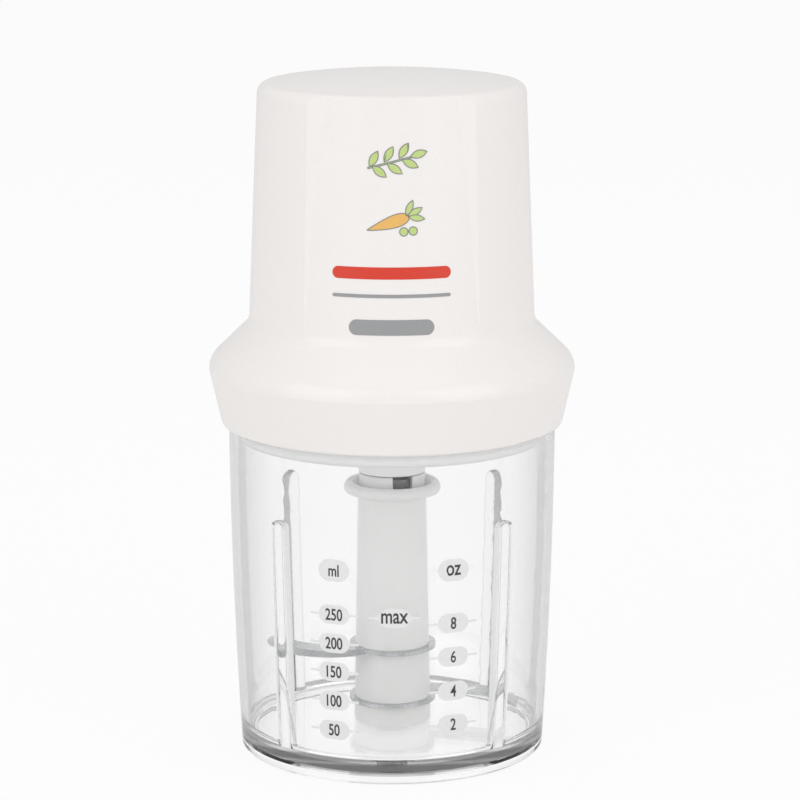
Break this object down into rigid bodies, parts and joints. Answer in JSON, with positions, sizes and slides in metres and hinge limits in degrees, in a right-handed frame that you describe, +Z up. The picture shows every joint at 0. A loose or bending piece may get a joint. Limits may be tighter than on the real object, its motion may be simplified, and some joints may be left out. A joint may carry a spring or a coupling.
{
  "type": "electric mini chopper",
  "caption": "Press-to-run kitchen chopper: a white motor head on a clear graduated bowl, with a lid, a turning blade column and a sprung seat that works the motor switch.",
  "frame": {"origin": "the middle of the bowl's foot, on the surface it stands on", "axes": "+Z up along the drive axis, -Y out of the front panel, +X to the right of the front"},
  "size_m": [0.1066, 0.1066, 0.1994],
  "materials": {
    "clear_plastic": "clear polished moulding",
    "milky_plastic": "milky satin moulding",
    "white_plastic": "white satin moulding",
    "housing_white": "glossy warm white moulding",
    "cream_plastic": "glass-filled moulding",
    "gland_plastic": "soft light grey moulding",
    "yellow_plastic": "boxed film capacitor",
    "graphite": "matte black",
    "black_rubber": "smooth rubber",
    "steel": "turned bright steel",
    "blade_steel": "ground stainless steel",
    "dark_steel": "dark steel",
    "brass": "sintered bronze and brass",
    "copper": "enamelled copper"
  },
  "bodies": {
    "bowl": {"bowl": "clear_plastic", "blade_spindle": "steel"},
    "lid": {"lid": "milky_plastic"},
    "blade": {"blade_column": "white_plastic", "column_bush": "brass", "lower_blade": "blade_steel", "upper_blade": "blade_steel"},
    "seat": {"seat_ring": "white_plastic", "guide_screws": "steel", "return_springs": "steel"},
    "head": {"motor_housing": "housing_white", "base_plate": "white_plastic", "housing_screws": "steel", "shaft_seal": "black_rubber", "lower_bearing": "brass", "upper_bearing": "brass", "stator_core": "dark_steel", "field_coils": "copper", "motor_bridge": "cream_plastic", "motor_bolts": "steel", "brush_holders": "brass", "carbon_brushes": "graphite", "brush_springs": "steel", "switch_body": "graphite", "suppressor_capacitor": "yellow_plastic", "cord_gland": "gland_plastic"},
    "plunger": {"switch_plunger": "white_plastic"},
    "rotor": {"motor_shaft": "steel", "armature_core": "dark_steel", "armature_windings": "copper", "commutator": "copper", "cooling_fan": "white_plastic", "drive_dog": "dark_steel"}
  },
  "joints": [
    {"name": "lid_lift", "type": "slide", "parent": "bowl", "child": "lid", "axis": [0, 0, 1], "range_m": [0, 0.12]},
    {"name": "head_lift", "type": "slide", "parent": "lid", "child": "seat", "axis": [0, 0, 1], "range_m": [0, 0.12]},
    {"name": "head_press", "type": "slide", "parent": "seat", "child": "head", "axis": [0, 0, 1], "range_m": [-0.003, 0], "stiffness_N_per_m": 1500, "springref_m": 0.008, "deforming": ["return_springs"]},
    {"name": "switch_press", "type": "slide", "parent": "head", "child": "plunger", "axis": [0, 0, 1], "range_m": [0, 0.003]},
    {"name": "motor_spin", "type": "hinge", "parent": "head", "child": "rotor", "pos_m": [0, 0, 0.145], "axis": [0, 0, 1], "continuous": true},
    {"name": "blade_spin", "type": "hinge", "parent": "bowl", "child": "blade", "pos_m": [0, 0, 0.04], "axis": [0, 0, 1], "continuous": true}
  ],
  "couplings": [
    {"joint": "switch_press", "follows": "head_press", "ratio": -1},
    {"joint": "blade_spin", "follows": "motor_spin", "ratio": 1}
  ]
}
